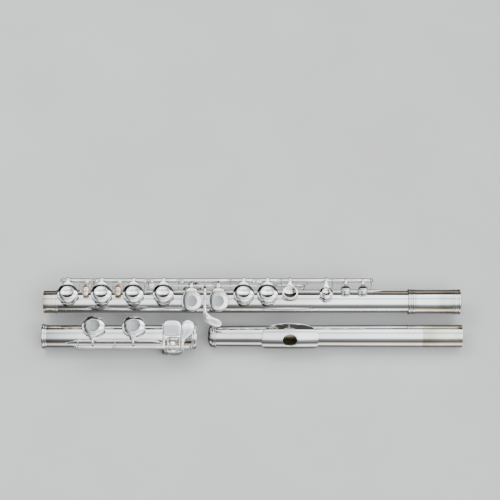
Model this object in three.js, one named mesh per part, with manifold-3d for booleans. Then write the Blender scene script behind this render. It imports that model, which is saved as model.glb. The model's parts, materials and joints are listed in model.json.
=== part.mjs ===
// Concert flute with closed-hole keys, offset G and a C foot, taken apart into its three sections:
// the body lies at the back, the head joint and the foot joint lie in one row in front of it.
// Millimetres, +Z up. X runs along every tube, towards the barrel and the head tenon.

import * as THREE from 'three';
import { mergeVertices } from 'three/addons/utils/BufferGeometryUtils.js';
import Module from 'manifold-3d';

const wasm = await Module();
wasm.setup();

// ---- where the three sections lie: tube axis and roll about X
const BODY = { y: 14.6, z: 18.3, roll: 0 };
const HEAD = { y: -14.6, z: 10.2, roll: 39 };
const FOOT = { y: -15.6, z: 12.2, roll: -13 };

// ---- tubes and joints between the sections
const TUBE_R = 9.9;
const BORE_R = 9.5;
const SOCKET_R = 10.12;          // a socket slides over the tube with this clearance
const BODY_X = [-183.4, 144.9];
const BODY_RING_X = -171.7;
const BARREL_X = [137, 183.5];
const BARREL_R = 10.7;
const HEAD_X = [-31.5, 184.2];
const CROWN_X = -38.7;
const HEAD_CLOSED_R = 8.95;      // tube radius at the crown end of the tapered head
const FOOT_X = [-184.2, -60.8];
const FOOT_SOCKET_X = [-62.6, -49.1];

// ---- embouchure
const LIP_X = 33;
const LIP_LENGTH = 50;
const LIP_WRAP = 76;             // half of the angle the lip plate wraps round
const LIP_SHEET = 0.9;
const EMBOUCHURE = [6.1, 5.2];   // half axes of the hole

// ---- tone holes: semitone positions measured from the embouchure
const OCTAVE_LENGTH = 662.4;
const END_CORRECTION = 68.5;
const EMBOUCHURE_TO_ORIGIN = 295.9;
const holeX = (n) => EMBOUCHURE_TO_ORIGIN + END_CORRECTION - OCTAVE_LENGTH * 2 ** (-n / 12);
const C_SHARP_X = 64.9;
const D_TRILL_X = 82.3;
const D_SHARP_TRILL_X = 97.4;
const G_OFFSET = -27;            // the two G cups lean towards the player's left hand
const G_SHARP_ANGLE = 118;
const THUMB_ANGLE = 135;
const TRILL_ANGLE = 29;
const FOOT_C_X = -138.2;
const FOOT_C_SHARP_X = -103.1;
const FOOT_D_SHARP_X = -70;
const FOOT_D_SHARP_ANGLE = -115;

// ---- cup, pad and chimney heights above the tube axis
const CHIMNEY_TOP = 12.3;
const CHIMNEY_WALL = 0.6;
const PAD = [12.35, 14.75];
const CUP_RIM = 12.9;
const CUP_CEILING = 14.85;
const CUP_WALL = 0.5;
const PAD_GAP = 0.1;
const CUP_R = 9.2;
const FOOT_CUP_R = 10;
const C_SHARP_CUP_R = 6;
const THUMB_CUP_R = 8;
const TRILL_CUP_R = 4.3;
const KEY_RISE = 2.6;

// ---- hinge lines, [y, z] from the tube axis
const ROD = [17.1, 8];
const SIDE_ROD = [12, 8];
const THUMB_ROD = [16.6, -1.8];
const FOOT_ROD = [-17.1, 8];
const KEY_TUBE_R = 1.9;
const KEY_TUBE_BORE = 1.4;
const STEEL_R = 0.7;
const STEEL_BORE = 0.95;
const TRILL_TUBE_R = 1.2;
const TRILL_TUBE_BORE = 0.9;
const SIDE_TUBE_R = 1.5;

const TUBE_SEGMENTS = 24;
const CUP_SEGMENTS = 14;
const ROD_SEGMENTS = 10;
const POST_SEGMENTS = 6;

const silver = { color: 0xd9dadd, roughness: 0.16, metalness: 1 };
const nickel = { color: 0xc9ccd2, roughness: 0.24, metalness: 1 };
const steel = { color: 0x9fa4ab, roughness: 0.3, metalness: 1 };
const skin = { color: 0xe6dcbc, roughness: 0.7, metalness: 0 };
const cork = { color: 0xb58a5b, roughness: 0.9, metalness: 0 };

const rad = THREE.MathUtils.degToRad;
const group = new THREE.Group();
const sections = { body: BODY, head: HEAD, foot: FOOT };
for (const [name, place] of Object.entries(sections)) {
  const section = new THREE.Group();
  section.name = `${name}_section`;
  section.position.set(0, place.y, place.z);
  section.rotation.x = rad(place.roll);
  group.add(section);
  place.group = section;
}

// ---- solids

function solid(geometry) {
  geometry.deleteAttribute('normal');
  geometry.deleteAttribute('uv');
  const merged = mergeVertices(geometry, 1e-4);
  const p = merged.attributes.position.array;
  const source = merged.index.array;
  const index = [];
  let volume = 0;
  for (let i = 0; i < source.length; i += 3) {
    const [a, b, c] = [source[i], source[i + 1], source[i + 2]];
    if (a === b || b === c || a === c) continue;
    index.push(a, b, c);
    const [u, v, w] = [a, b, c].map((k) => new THREE.Vector3(p[3 * k], p[3 * k + 1], p[3 * k + 2]));
    volume += u.dot(v.cross(w));
  }
  if (volume < 0) index.reverse();
  return new wasm.Manifold(new wasm.Mesh({
    numProp: 3, vertProperties: new Float32Array(p), triVerts: new Uint32Array(index),
  }));
}

const join = (...parts) => parts.flat().reduce((a, b) => a.add(b));
const cut = (whole, ...tools) => tools.flat().reduce((a, b) => a.subtract(b), whole);

// Turned about the X line through [y, z]; profile points are [x, radius].
function turned(profile, [y, z] = [0, 0], segments = TUBE_SEGMENTS) {
  const points = profile.map(([x, r]) => new THREE.Vector2(r, x));
  const geometry = new THREE.LatheGeometry(points, segments);
  geometry.rotateZ(-Math.PI / 2);
  geometry.translate(0, y, z);
  return solid(geometry);
}

function rod(x0, x1, r, line, segments = ROD_SEGMENTS) {
  return turned([[x0, 0], [x0, r], [x1, r], [x1, 0]], line, segments);
}

// Directions square to the tube: angle 0 points up, positive angles lean to +Y.
function direction(angle) {
  return [Math.sin(rad(angle)), Math.cos(rad(angle))];
}

// Turned about the line that leaves the tube axis at x in the given direction;
// profile points are [radius, height above the tube axis].
function standing(profile, x, angle, segments = CUP_SEGMENTS, scale = [1, 1]) {
  const [s, c] = direction(angle);
  const points = profile.map(([r, h]) => new THREE.Vector2(r, h));
  const geometry = new THREE.LatheGeometry(points, segments);
  geometry.scale(scale[0], 1, scale[1]);
  geometry.applyMatrix4(new THREE.Matrix4().makeBasis(
    new THREE.Vector3(1, 0, 0), new THREE.Vector3(0, s, c), new THREE.Vector3(0, -c, s),
  ).setPosition(x, 0, 0));
  return solid(geometry);
}

// [lateral, height] beside a cup leaning at the angle -> [y, z] of the section, and back.
const fromCup = (angle, [l, h]) => {
  const [s, c] = direction(angle);
  return [h * s + l * c, h * c - l * s];
};
const toCup = (angle, [y, z]) => {
  const [s, c] = direction(angle);
  return [y * c - z * s, y * s + z * c];
};

// Closed sheet between two faces; faces(i, j) gives the outer and the inner point.
function sheet(nu, nv, faces) {
  const position = [];
  const index = [];
  const count = (nu + 1) * (nv + 1);
  for (const side of [0, 1]) {
    for (let i = 0; i <= nu; i++) for (let j = 0; j <= nv; j++) position.push(...faces(i, j)[side]);
  }
  const at = (side, i, j) => side * count + i * (nv + 1) + j;
  const quad = (a, b, c, d) => index.push(a, b, c, a, c, d);
  for (let i = 0; i < nu; i++) {
    for (let j = 0; j < nv; j++) {
      quad(at(0, i, j), at(0, i + 1, j), at(0, i + 1, j + 1), at(0, i, j + 1));
      quad(at(1, i, j), at(1, i, j + 1), at(1, i + 1, j + 1), at(1, i + 1, j));
    }
    quad(at(0, i, 0), at(1, i, 0), at(1, i + 1, 0), at(0, i + 1, 0));
    quad(at(0, i, nv), at(0, i + 1, nv), at(1, i + 1, nv), at(1, i, nv));
  }
  for (let j = 0; j < nv; j++) {
    quad(at(0, 0, j), at(0, 0, j + 1), at(1, 0, j + 1), at(1, 0, j));
    quad(at(0, nu, j), at(1, nu, j), at(1, nu, j + 1), at(0, nu, j + 1));
  }
  const geometry = new THREE.BufferGeometry();
  geometry.setAttribute('position', new THREE.Float32BufferAttribute(position, 3));
  geometry.setIndex(index);
  return solid(geometry);
}

// Flat bar bent along a path; every station is [x, half width, y, z].
function bar(stations, thickness) {
  const last = stations.length - 1;
  return sheet(last, 1, (i, j) => {
    const [x, w, y, z] = stations[i];
    const before = stations[Math.max(i - 1, 0)];
    const after = stations[Math.min(i + 1, last)];
    const [ty, tz] = [after[2] - before[2], after[3] - before[3]];
    const k = thickness / 2 / Math.hypot(ty, tz);
    const edge = x + (j ? w : -w);
    return [[edge, y - tz * k, z + ty * k], [edge, y + tz * k, z - ty * k]];
  });
}

// Plate that follows the tube; every station is [x, first angle, last angle].
function strap(stations, inner, outer, steps) {
  return sheet(stations.length - 1, steps, (i, j) => {
    const [x, first, last] = stations[i];
    const [s, c] = direction(first + (last - first) * j / steps);
    return [[x, outer * s, outer * c], [x, inner * s, inner * c]];
  });
}

function add(name, part, look, place, swing = null) {
  const mesh = part.getMesh();
  const geometry = new THREE.BufferGeometry();
  geometry.setAttribute('position', new THREE.Float32BufferAttribute(mesh.vertProperties, 3));
  geometry.setIndex([...mesh.triVerts]);
  if (swing) {
    const [y, z] = swing.line;
    geometry.translate(0, -y, -z);
    geometry.rotateX(swing.angle);
    geometry.translate(0, y, z);
  }
  geometry.computeVertexNormals();
  const node = new THREE.Mesh(geometry, new THREE.MeshStandardMaterial(look));
  node.name = name;
  place.group.add(node);
}

// ---- repeated pieces

function chimney(hole) {
  const outer = hole.r + CHIMNEY_WALL;
  return standing([[0, 5], [outer, 5], [outer, CHIMNEY_TOP], [0, CHIMNEY_TOP]], hole.x, hole.angle);
}

function drill(hole) {
  return standing([[0, 5], [hole.r, 5], [hole.r, 14], [0, 14]], hole.x, hole.angle);
}

function piercedTube(x, holes) {
  const wall = join(rod(...x, TUBE_R, [0, 0], TUBE_SEGMENTS), holes.map(chimney));
  return cut(wall, rod(x[0] - 1, x[1] + 1, BORE_R, [0, 0], TUBE_SEGMENTS), holes.map(drill));
}

function cup(x, angle, r) {
  const shell = [
    [0, CUP_CEILING], [r - CUP_WALL, CUP_CEILING], [r - CUP_WALL, CUP_RIM], [r, CUP_RIM],
    [r, CUP_CEILING + 0.25], [r * 0.88, CUP_CEILING + 1.1], [r * 0.7, CUP_CEILING + 1.65],
    [r * 0.62, CUP_CEILING + 1.45], [r * 0.3, CUP_CEILING + 0.85], [0, CUP_CEILING + 0.75],
  ];
  return standing(shell, x, angle);
}

function domedCup(x, angle, r) {
  const shell = [
    [0, CUP_CEILING], [r - CUP_WALL, CUP_CEILING], [r - CUP_WALL, CUP_RIM], [r, CUP_RIM],
    [r, CUP_CEILING + 0.1], [r * 0.75, CUP_CEILING + 0.7], [r * 0.35, CUP_CEILING + 1.1], [0, CUP_CEILING + 1.2],
  ];
  return standing(shell, x, angle, 12);
}

function pad(x, angle, cupR, segments = CUP_SEGMENTS) {
  const r = cupR - CUP_WALL - PAD_GAP;
  const [bottom, top] = PAD;
  return standing([[0, bottom], [r - 0.5, bottom], [r, bottom + 0.45], [r, top], [0, top]], x, angle, segments);
}

// Pointed arm from a hinge line up on to a cup.
function arm(x, angle, line, cupR, fromX = x) {
  const [l, h] = toCup(angle, line);
  const side = Math.sign(l);
  const rim = [side * (cupR - 0.4), CUP_CEILING + 0.45];
  const shoulder = [l - side * 0.9, h + 2.6];
  const middle = [(shoulder[0] + rim[0]) / 2, (shoulder[1] + rim[1]) / 2 + 0.6];
  const path = [
    [fromX, 1.3, ...fromCup(angle, [l, h])],
    [fromX, 1.4, ...fromCup(angle, shoulder)],
    [(x + fromX) / 2, cupR * 0.22, ...fromCup(angle, middle)],
    [x, cupR * 0.44, ...fromCup(angle, rim)],
    [x, cupR * 0.56, ...fromCup(angle, [side * cupR * 0.74, CUP_CEILING + 1.25])],
  ];
  return bar(path, 1);
}

// Post on the strap at the foot angle, its ball on the hinge line.
function post(x, line, footAngle, bore, ball = 2.2) {
  const [s, c] = direction(footAngle);
  const foot = [10.2 * s, 10.2 * c];
  const reach = Math.hypot(line[0] - foot[0], line[1] - foot[1]);
  const profile = [
    [0, 0], [1.9, 0], [0.8, 1.4], [0.85, reach - ball], [ball, reach - ball * 0.4], [ball, reach + ball * 0.4],
    [0, reach + ball],
  ];
  const geometry = new THREE.LatheGeometry(profile.map(([r, h]) => new THREE.Vector2(r, h)), POST_SEGMENTS);
  geometry.scale(0.54, 1, 1);
  const [ty, tz] = [(line[0] - foot[0]) / reach, (line[1] - foot[1]) / reach];
  geometry.applyMatrix4(new THREE.Matrix4().makeBasis(
    new THREE.Vector3(1, 0, 0), new THREE.Vector3(0, ty, tz), new THREE.Vector3(0, -tz, ty),
  ).setPosition(x, foot[0], foot[1]));
  return cut(solid(geometry), rod(x - 4, x + 4, bore, line, 8));
}

function hinged(x0, x1, line, bore, parts, r = KEY_TUBE_R) {
  return cut(join(rod(x0, x1, r, line), parts), rod(x0 - 1, x1 + 1, bore, line));
}

const openBy = (x, angle, line) => {
  const [y, z] = fromCup(angle, [0, PAD[0]]);
  return KEY_RISE / Math.hypot(y - line[0], z - line[1]);
};

// ---- body: tube, barrel, strap and posts

const HOLE_R = 6.6;
const bodyHoles = [4, 5, 6, 7, 10, 11].map((n) => ({ x: holeX(n), angle: 0, r: HOLE_R }));
bodyHoles.push(
  { x: holeX(8), angle: G_OFFSET, r: HOLE_R }, { x: holeX(9), angle: G_OFFSET, r: HOLE_R },
  { x: holeX(8), angle: G_SHARP_ANGLE, r: 6 }, { x: holeX(12), angle: THUMB_ANGLE, r: 5.8 },
  { x: C_SHARP_X, angle: 0, r: 3.8 },
  { x: D_TRILL_X, angle: TRILL_ANGLE, r: 2.7 }, { x: D_SHARP_TRILL_X, angle: TRILL_ANGLE, r: 2.7 },
);
add('body_tube', piercedTube(BODY_X, bodyHoles), silver, BODY);

const RING = [TUBE_R + 0.12, TUBE_R + 0.75];
add('tenon_ring', turned([
  [BODY_RING_X - 1, RING[0]], [BODY_RING_X - 1, RING[1] - 0.2], [BODY_RING_X - 0.5, RING[1]],
  [BODY_RING_X + 0.5, RING[1]], [BODY_RING_X + 1, RING[1] - 0.2], [BODY_RING_X + 1, RING[0]],
  [BODY_RING_X - 1, RING[0]],
]), silver, BODY);

// A sleeve with a group of turned beads at both ends.
function beadedSleeve(x0, x1, inner, outer, beads) {
  const profile = [[x0, inner], [x0, outer - 0.2]];
  for (const [x, w, rise] of beads) {
    profile.push([x - w / 2, outer], [x - w / 4, outer + rise], [x + w / 4, outer + rise], [x + w / 2, outer]);
  }
  profile.push([x1, outer - 0.2], [x1, inner], [x0, inner]);
  return turned(profile);
}
const [B0, B1] = BARREL_X;
add('barrel', beadedSleeve(B0, B1, SOCKET_R, BARREL_R, [
  [B0 + 1.4, 2, 0.6], [B0 + 4.4, 2.6, 0.35], [B1 - 4.8, 2.4, 0.35], [B1 - 1.6, 2.4, 0.6],
]), silver, BODY);

const MAIN_POSTS = [-166.5, -139.5, -91.5, -64.5, -19, 25.8, 70.8, 105];
const TRILL_TUBE_X = [-119.7, 86];
const SIDE_POSTS = [-151.2, -140.9, -122.4, -113.2, -94, -50.6, -32.4, 11.5];
const THUMB_POSTS = [21, 46];
const strapStations = [
  [-170, 74, 76], [-164, 50, 92], [-100, 50, 92], [-30, 50, 92], [40, 50, 92], [103, 50, 92], [115, 74, 76],
];
const tubeClearance = (x0, x1) => rod(x0, x1, TUBE_R + 0.09, [0, 0], TUBE_SEGMENTS);
const strapCuts = [
  standing([[0, 5], [7.2, 5], [7.2, 14], [0, 14]], holeX(8), G_SHARP_ANGLE),
  [D_TRILL_X, D_SHARP_TRILL_X].map((x) => (
    standing([[0, 5], [4.2, 5], [4.2, 14], [0, 14]], x, TRILL_ANGLE))),
];
add('main_rib', cut(join(
  cut(strap(strapStations, TUBE_R + 0.1, TUBE_R + 0.9, 5), strapCuts.flat()),
  MAIN_POSTS.map((x) => post(x, ROD, 76,
    x > TRILL_TUBE_X[0] && x < TRILL_TUBE_X[1] ? KEY_TUBE_BORE : STEEL_BORE)),
  SIDE_POSTS.map((x) => post(x, SIDE_ROD, 57, STEEL_BORE, 1.6)),
  THUMB_POSTS.map((x) => post(x, THUMB_ROD, 88, STEEL_BORE, 1.8)),
), tubeClearance(-180, 130)), silver, BODY);

// ---- body keys in line on the main rod

const inlineKeys = [
  ['d', 4, -165, -149, STEEL_BORE], ['e', 5, -137.8, -120, STEEL_BORE],
  ['f', 6, -113.2, -93, KEY_TUBE_BORE], ['f_sharp', 7, -90, -66, KEY_TUBE_BORE],
  ['a', 10, -17.3, 3, KEY_TUBE_BORE], ['b_flat', 11, 3.3, 24, KEY_TUBE_BORE],
];
for (const [name, n, x0, x1, bore] of inlineKeys) {
  const x = holeX(n);
  const swing = { line: ROD, angle: -openBy(x, 0, ROD) };
  add(`${name}_key`, hinged(x0, x1, ROD, bore, [cup(x, 0, CUP_R), arm(x, 0, ROD, CUP_R)]), silver, BODY, swing);
  add(`${name}_pad`, pad(x, 0, CUP_R), skin, BODY, swing);
}

const gSwing = { line: ROD, angle: -openBy(0, G_OFFSET, ROD) };
add('g_key', hinged(-63, -20.5, ROD, KEY_TUBE_BORE, [8, 9].flatMap((n) => (
  [cup(holeX(n), G_OFFSET, CUP_R), arm(holeX(n), G_OFFSET, ROD, CUP_R)]))), silver, BODY, gSwing);
add('lower_g_pad', pad(holeX(8), G_OFFSET, CUP_R), skin, BODY, gSwing);
add('g_pad', pad(holeX(9), G_OFFSET, CUP_R), skin, BODY, gSwing);

// The index touch is a dished disc without a pad; its tube carries the small C sharp cup.
const touchX = holeX(12);
const touchR = 7.2;
const touchDisc = standing([
  [0, 14.4], [touchR - 0.6, 14.4], [touchR, 14.9], [touchR, 15.6], [touchR - 0.7, 16.2],
  [touchR * 0.72, 15.9], [touchR * 0.3, 15.3], [0, 15.2],
], touchX, 0);
const cSharpSwing = { line: ROD, angle: -openBy(0, 0, ROD) };
add('c_sharp_key', hinged(27.5, 69, ROD, KEY_TUBE_BORE, [
  touchDisc, arm(touchX, 0, ROD, touchR), cup(C_SHARP_X, 0, C_SHARP_CUP_R), arm(C_SHARP_X, 0, ROD, C_SHARP_CUP_R),
]), silver, BODY, cSharpSwing);
add('c_sharp_pad', pad(C_SHARP_X, 0, C_SHARP_CUP_R), skin, BODY, cSharpSwing);

// ---- trill keys: a long shaft with a cup at the barrel end, driven by a short touch lever

function trillCup(x, fromX) {
  const [l, h] = toCup(TRILL_ANGLE, ROD);
  return [domedCup(x, TRILL_ANGLE, TRILL_CUP_R), bar([
    [fromX, 1.4, ...fromCup(TRILL_ANGLE, [l, h])],
    [(fromX + x) / 2, 1.5, ...fromCup(TRILL_ANGLE, [l - 3.5, h + 1.4])],
    [x, 1.9, ...fromCup(TRILL_ANGLE, [TRILL_CUP_R - 0.6, CUP_CEILING + 0.6])],
    [x, 1.9, ...fromCup(TRILL_ANGLE, [1.4, CUP_CEILING + 1.1])],
  ], 1)];
}
const lug = (x) => bar([[x, 1.5, 16.9, 9.4], [x, 1.4, 14, 9.3]], 0.8);
add('d_trill_key', cut(join(
  rod(...TRILL_TUBE_X, TRILL_TUBE_R, ROD), rod(-119.7, -113.5, KEY_TUBE_R, ROD), lug(-117.8),
  rod(72.5, 86, KEY_TUBE_R, ROD), trillCup(D_TRILL_X, D_TRILL_X),
), rod(-125, 90, TRILL_TUBE_BORE, ROD)), silver, BODY);
add('d_trill_pad', pad(D_TRILL_X, TRILL_ANGLE, TRILL_CUP_R, 12), skin, BODY);
add('d_sharp_trill_key', join(
  rod(-168, 106, STEEL_R, ROD), rod(-148.7, -142, KEY_TUBE_R, ROD), lug(-146),
  rod(86.4, 103.2, KEY_TUBE_R, ROD), trillCup(D_SHARP_TRILL_X, D_SHARP_TRILL_X),
), silver, BODY);
add('d_sharp_trill_pad', pad(D_SHARP_TRILL_X, TRILL_ANGLE, TRILL_CUP_R, 12), skin, BODY);

function trillTouch(x, x0, x1) {
  const [y, z] = SIDE_ROD;
  return join(
    rod(x0, x1, SIDE_TUBE_R - 0.2, SIDE_ROD),
    rod(x0 - 2.6, x1 + 2.6, STEEL_R, SIDE_ROD),
    bar([[x, 1.4, y + 0.3, z - 0.4], [x, 1.3, y + 2.7, z - 0.7]], 0.8),
    bar([
      [x, 1.1, y, z + 0.5], [x, 1.2, y - 1.4, z + 4.4], [x, 2.1, y - 3.4, z + 6], [x, 2.9, y - 5.8, z + 6.4],
      [x, 3, y - 8.2, z + 6.3], [x, 2.2, y - 10.4, z + 5.9], [x, 1, y - 11.6, z + 5.6],
    ], 1),
  );
}
add('d_sharp_trill_touch', trillTouch(-146, -149, -143), silver, BODY);
add('d_trill_touch', trillTouch(-117.8, -120.4, -115.2), silver, BODY);

// ---- side line: B flat lever and G sharp key share one axis

const leverX = -88.6;
add('b_flat_lever', join(
  rod(-95.2, 12.7, STEEL_R, SIDE_ROD), rod(-91.5, -85.5, SIDE_TUBE_R - 0.2, SIDE_ROD),
  bar([
    [leverX, 1.1, 12, 8.4], [leverX, 1.3, 12.2, 12.4], [leverX, 2.2, 11.4, 14.6], [leverX, 2.7, 10, 15],
    [leverX, 2.7, 8.4, 15], [leverX, 1.6, 7, 14.8],
  ], 1),
  bar([[7, 1.5, 12, 8.4], [7, 1.5, 13.4, 11], [7, 1.5, 16, 11.6]], 0.9),
), silver, BODY);

const gSharpLine = SIDE_ROD;
const gSharpX = holeX(8);
const sharpArm = bar([
  [-41.3, 1.5, 12, 8.6], [-41.3, 1.5, 9, 12.6], [-41.3, 1.5, 4, 13.9], [-41.3, 1.5, -3, 13.7],
  [-41.3, 1.5, -9, 12.2], [-41, 1.7, -14.5, 10.4], [-38.4, 3.6, -18.2, 10.2], [-35.2, 6, -21.1, 10.2],
  [-33.2, 6.6, -23.8, 9.9], [-31.6, 5, -26.2, 9.5], [-30.8, 2.2, -27.5, 9.2],
], 1.1);
add('g_sharp_key', hinged(-49, -34, gSharpLine, STEEL_BORE, [
  cup(gSharpX, G_SHARP_ANGLE, CUP_R - 0.6), arm(gSharpX, G_SHARP_ANGLE, SIDE_ROD, CUP_R - 0.6, -46.4), sharpArm,
], SIDE_TUBE_R), silver, BODY);
add('g_sharp_pad', pad(gSharpX, G_SHARP_ANGLE, CUP_R - 0.6), skin, BODY);

// ---- thumb keys behind and below the tube

const thumbX = holeX(12);
const thumbSwing = { line: THUMB_ROD, angle: openBy(thumbX, THUMB_ANGLE, THUMB_ROD) * 0.75 };
add('thumb_key', hinged(23, 36.5, THUMB_ROD, STEEL_BORE, [
  cup(thumbX, THUMB_ANGLE, THUMB_CUP_R), arm(thumbX, THUMB_ANGLE, THUMB_ROD, THUMB_CUP_R, 31),
], SIDE_TUBE_R), silver, BODY, thumbSwing);
add('thumb_pad', pad(thumbX, THUMB_ANGLE, THUMB_CUP_R), skin, BODY, thumbSwing);
add('thumb_b_flat_lever', hinged(37, 44.4, THUMB_ROD, STEEL_BORE, [bar([
  [42.6, 1.4, 17, -2.6], [44, 1.8, 16.4, -7], [46, 3.2, 14.6, -9.6], [46.6, 3.8, 12.2, -11.6],
  [46.6, 3.2, 9.8, -13.2], [46.6, 1.7, 8.2, -14],
], 1.1)], SIDE_TUBE_R), silver, BODY);
add('thumb_steel', rod(19.4, 47.6, STEEL_R, THUMB_ROD), steel, BODY);

// ---- head: tapered tube, lip plate on its riser, crown and stopper

const headRadius = (x) => HEAD_CLOSED_R + (TUBE_R - HEAD_CLOSED_R) * (1 - (
  Math.max(0, HEAD_X[1] - 30 - x) / (HEAD_X[1] - 30 - HEAD_X[0])) ** 1.6);
const taper = [];
for (let i = 0; i <= 8; i++) taper.push(HEAD_X[0] + (HEAD_X[1] - HEAD_X[0]) * i / 8);
const headWall = 0.4;
const headShell = [
  ...taper.map((x) => [x, headRadius(x)]),
  ...taper.toReversed().map((x) => [x, headRadius(x) - headWall]),
];
headShell.push(headShell[0]);
const blowHole = (low, high, grow = 0) => standing(
  [[0, low], [1, low], [1, high], [0, high]], LIP_X, 0, 24, [EMBOUCHURE[0] + grow, EMBOUCHURE[1] + grow]);
add('head_tube', cut(turned(headShell), blowHole(4, 14)), silver, HEAD);

const headR = headRadius(LIP_X - LIP_LENGTH / 2 + 50);
const LIP_RISE = 3.6;
const lipRadius = (angle, edge) => (
  headR + 1.1 + LIP_RISE * Math.cos(rad(angle * 90 / LIP_WRAP)) ** 1.5 * (1 - 0.28 * edge ** 2));
add('lip_plate', cut(sheet(10, 14, (i, j) => {
  const v = -1 + 2 * j / 14;
  const half = LIP_LENGTH / 2 * Math.max(0.12, 1 - Math.abs(v) ** 2.6) ** (1 / 2.6);
  const u = -1 + 2 * i / 10;
  const angle = v * LIP_WRAP;
  const [s, c] = direction(angle);
  const r = lipRadius(angle, Math.abs(u * half * 2 / LIP_LENGTH));
  const x = LIP_X + u * half;
  return [[x, r * s, r * c], [x, (r - LIP_SHEET) * s, (r - LIP_SHEET) * c]];
}), blowHole(4, 20)), silver, HEAD);

const underLip = sheet(6, 10, (i, j) => {
  const [u, angle] = [-12 + 4 * i, -60 + 12 * j];
  const [s, c] = direction(angle);
  const r = lipRadius(angle, Math.abs(u * 2 / LIP_LENGTH)) - LIP_SHEET - 0.2;
  return [[LIP_X + u, 30 * s, 30 * c], [LIP_X + u, r * s, r * c]];
});
const underRiser = turned([
  [LIP_X - 15, 0], [LIP_X - 15, headR + 0.12], [LIP_X + 15, headR + 0.12], [LIP_X + 15, 0],
]);
add('riser', cut(blowHole(6, 16, 0.9), underLip, underRiser, blowHole(4, 20)), silver, HEAD);

const [H0] = HEAD_X;
add('crown', turned([
  [H0 - 0.3, 1.9], [H0 - 0.3, 10.2], [H0 - 1.6, 10.2], [H0 - 2.2, 9.7], [H0 - 3.4, 9.7],
  [H0 - 5, 8.9], [H0 - 6.4, 6.6], [CROWN_X, 3.4], [CROWN_X, 0], [H0 - 4.6, 0], [H0 - 4.6, 1.9], [H0 - 0.3, 1.9],
]), silver, HEAD);
const CORK_X = [0, 14.6];
const CORK_R = 8.5;
add('stopper_screw', rod(H0 - 3.4, CORK_X[1] + 0.6, 1.5, [0, 0]), nickel, HEAD);
add('stopper_cork', cut(
  turned([[CORK_X[0], 0], [CORK_X[0], CORK_R], [CORK_X[1], CORK_R], [CORK_X[1], 0]]),
  rod(-60, 60, 1.65, [0, 0]),
), cork, HEAD);
add('stopper_plate', cut(
  turned([[CORK_X[1] + 0.2, 0], [CORK_X[1] + 0.2, CORK_R - 0.1], [CORK_X[1] + 1.4, CORK_R - 0.1], [CORK_X[1] + 1.4, 0]]),
  rod(CORK_X[0], CORK_X[1] + 0.8, 1.65, [0, 0]),
), nickel, HEAD);

// ---- foot: tube, socket, strap with posts

const footHoles = [
  { x: FOOT_C_X, angle: 0, r: 7.4 }, { x: FOOT_C_SHARP_X, angle: 0, r: 7.4 },
  { x: FOOT_D_SHARP_X, angle: FOOT_D_SHARP_ANGLE, r: HOLE_R },
];
const rimX = FOOT_X[0];
add('foot_tube', join(
  piercedTube(FOOT_X, footHoles),
  turned([
    [rimX, TUBE_R - 0.2], [rimX, 10.6], [rimX + 0.6, 10.95], [rimX + 1.6, 10.95], [rimX + 2.2, 10.4],
    [rimX + 3.2, 10.5], [rimX + 3.8, TUBE_R - 0.2], [rimX, TUBE_R - 0.2],
  ]),
), silver, FOOT);
const [S0, S1] = FOOT_SOCKET_X;
add('foot_socket', join(
  beadedSleeve(S0, S1, SOCKET_R, 10.7, [[S1 - 1.5, 2.2, 0.45]]),
  cut(post(-52.6, FOOT_ROD, -76, STEEL_BORE), rod(-60, -40, SOCKET_R, [0, 0], TUBE_SEGMENTS)),
), silver, FOOT);
const footPosts = [-152.2, -119.9];
const footStrap = strap([
  [-163, -76, -74], [-155, -92, -56], [-84, -92, -56], [-78, -76, -74],
], TUBE_R + 0.1, TUBE_R + 0.9, 4);
add('foot_rib', cut(
  join(footStrap, footPosts.map((x) => post(x, FOOT_ROD, -76, STEEL_BORE))), tubeClearance(-170, -70),
), silver, FOOT);

// ---- foot keys; touches are laid out in level coordinates from the tube axis

const level = ([x, w, y, z]) => {
  const [s, c] = direction(-FOOT.roll);
  return [x, w, y * c - z * s, y * s + z * c];
};
const levelBar = (stations, thickness) => bar(stations.map(level), thickness);
const footSwing = { line: FOOT_ROD, angle: openBy(0, 0, FOOT_ROD) };
const ROLLER = { x: [-72.3, -63.7], y: -8.2, z: 13.1, r: 2.2 };
const rollerLine = level([0, 0, ROLLER.y, ROLLER.z]).slice(2);
const fork = (x) => levelBar([[x, 0.55, -14.9, 12], [x, 0.55, -11.4, 12.9], [x, 0.55, -7, 13.2]], 1.8);
add('foot_c_key', join(
  cut(rod(-150.6, -121.6, KEY_TUBE_R, FOOT_ROD), rod(-155, -123, STEEL_BORE, FOOT_ROD)),
  rod(-124, -63, STEEL_R, FOOT_ROD), rod(-73.8, -62.4, KEY_TUBE_R, FOOT_ROD),
  cup(FOOT_C_X, 0, FOOT_CUP_R), arm(FOOT_C_X, 0, FOOT_ROD, FOOT_CUP_R),
  fork(-73.2), fork(-62.9), rod(-73.3, -62.8, 0.5, rollerLine),
), silver, FOOT, footSwing);
add('foot_c_pad', pad(FOOT_C_X, 0, FOOT_CUP_R), skin, FOOT, footSwing);
add('foot_c_roller', cut(turned([
  [ROLLER.x[0], 0], [ROLLER.x[0], ROLLER.r - 0.5], [ROLLER.x[0] + 0.9, ROLLER.r],
  [ROLLER.x[1] - 0.9, ROLLER.r], [ROLLER.x[1], ROLLER.r - 0.5], [ROLLER.x[1], 0],
], rollerLine, 14), rod(-80, -60, 0.65, rollerLine)), nickel, FOOT, footSwing);
add('foot_c_sharp_key', hinged(-118.2, -74.3, FOOT_ROD, STEEL_BORE, [
  cup(FOOT_C_SHARP_X, 0, FOOT_CUP_R), arm(FOOT_C_SHARP_X, 0, FOOT_ROD, FOOT_CUP_R),
  levelBar([[-76.8, 1.1, -14.9, 13], [-76.8, 1.1, -9, 13.6], [-76.8, 1.2, -3.4, 13.2]], 1.1),
  levelBar([
    [-70, 8, -4.6, 13.4], [-70, 8, -1, 13.3], [-70, 7.8, 3.4, 12.9], [-70, 6.6, 6.2, 12.6], [-70, 4, 8.2, 12.3],
  ], 1.1),
]), silver, FOOT, footSwing);
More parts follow.
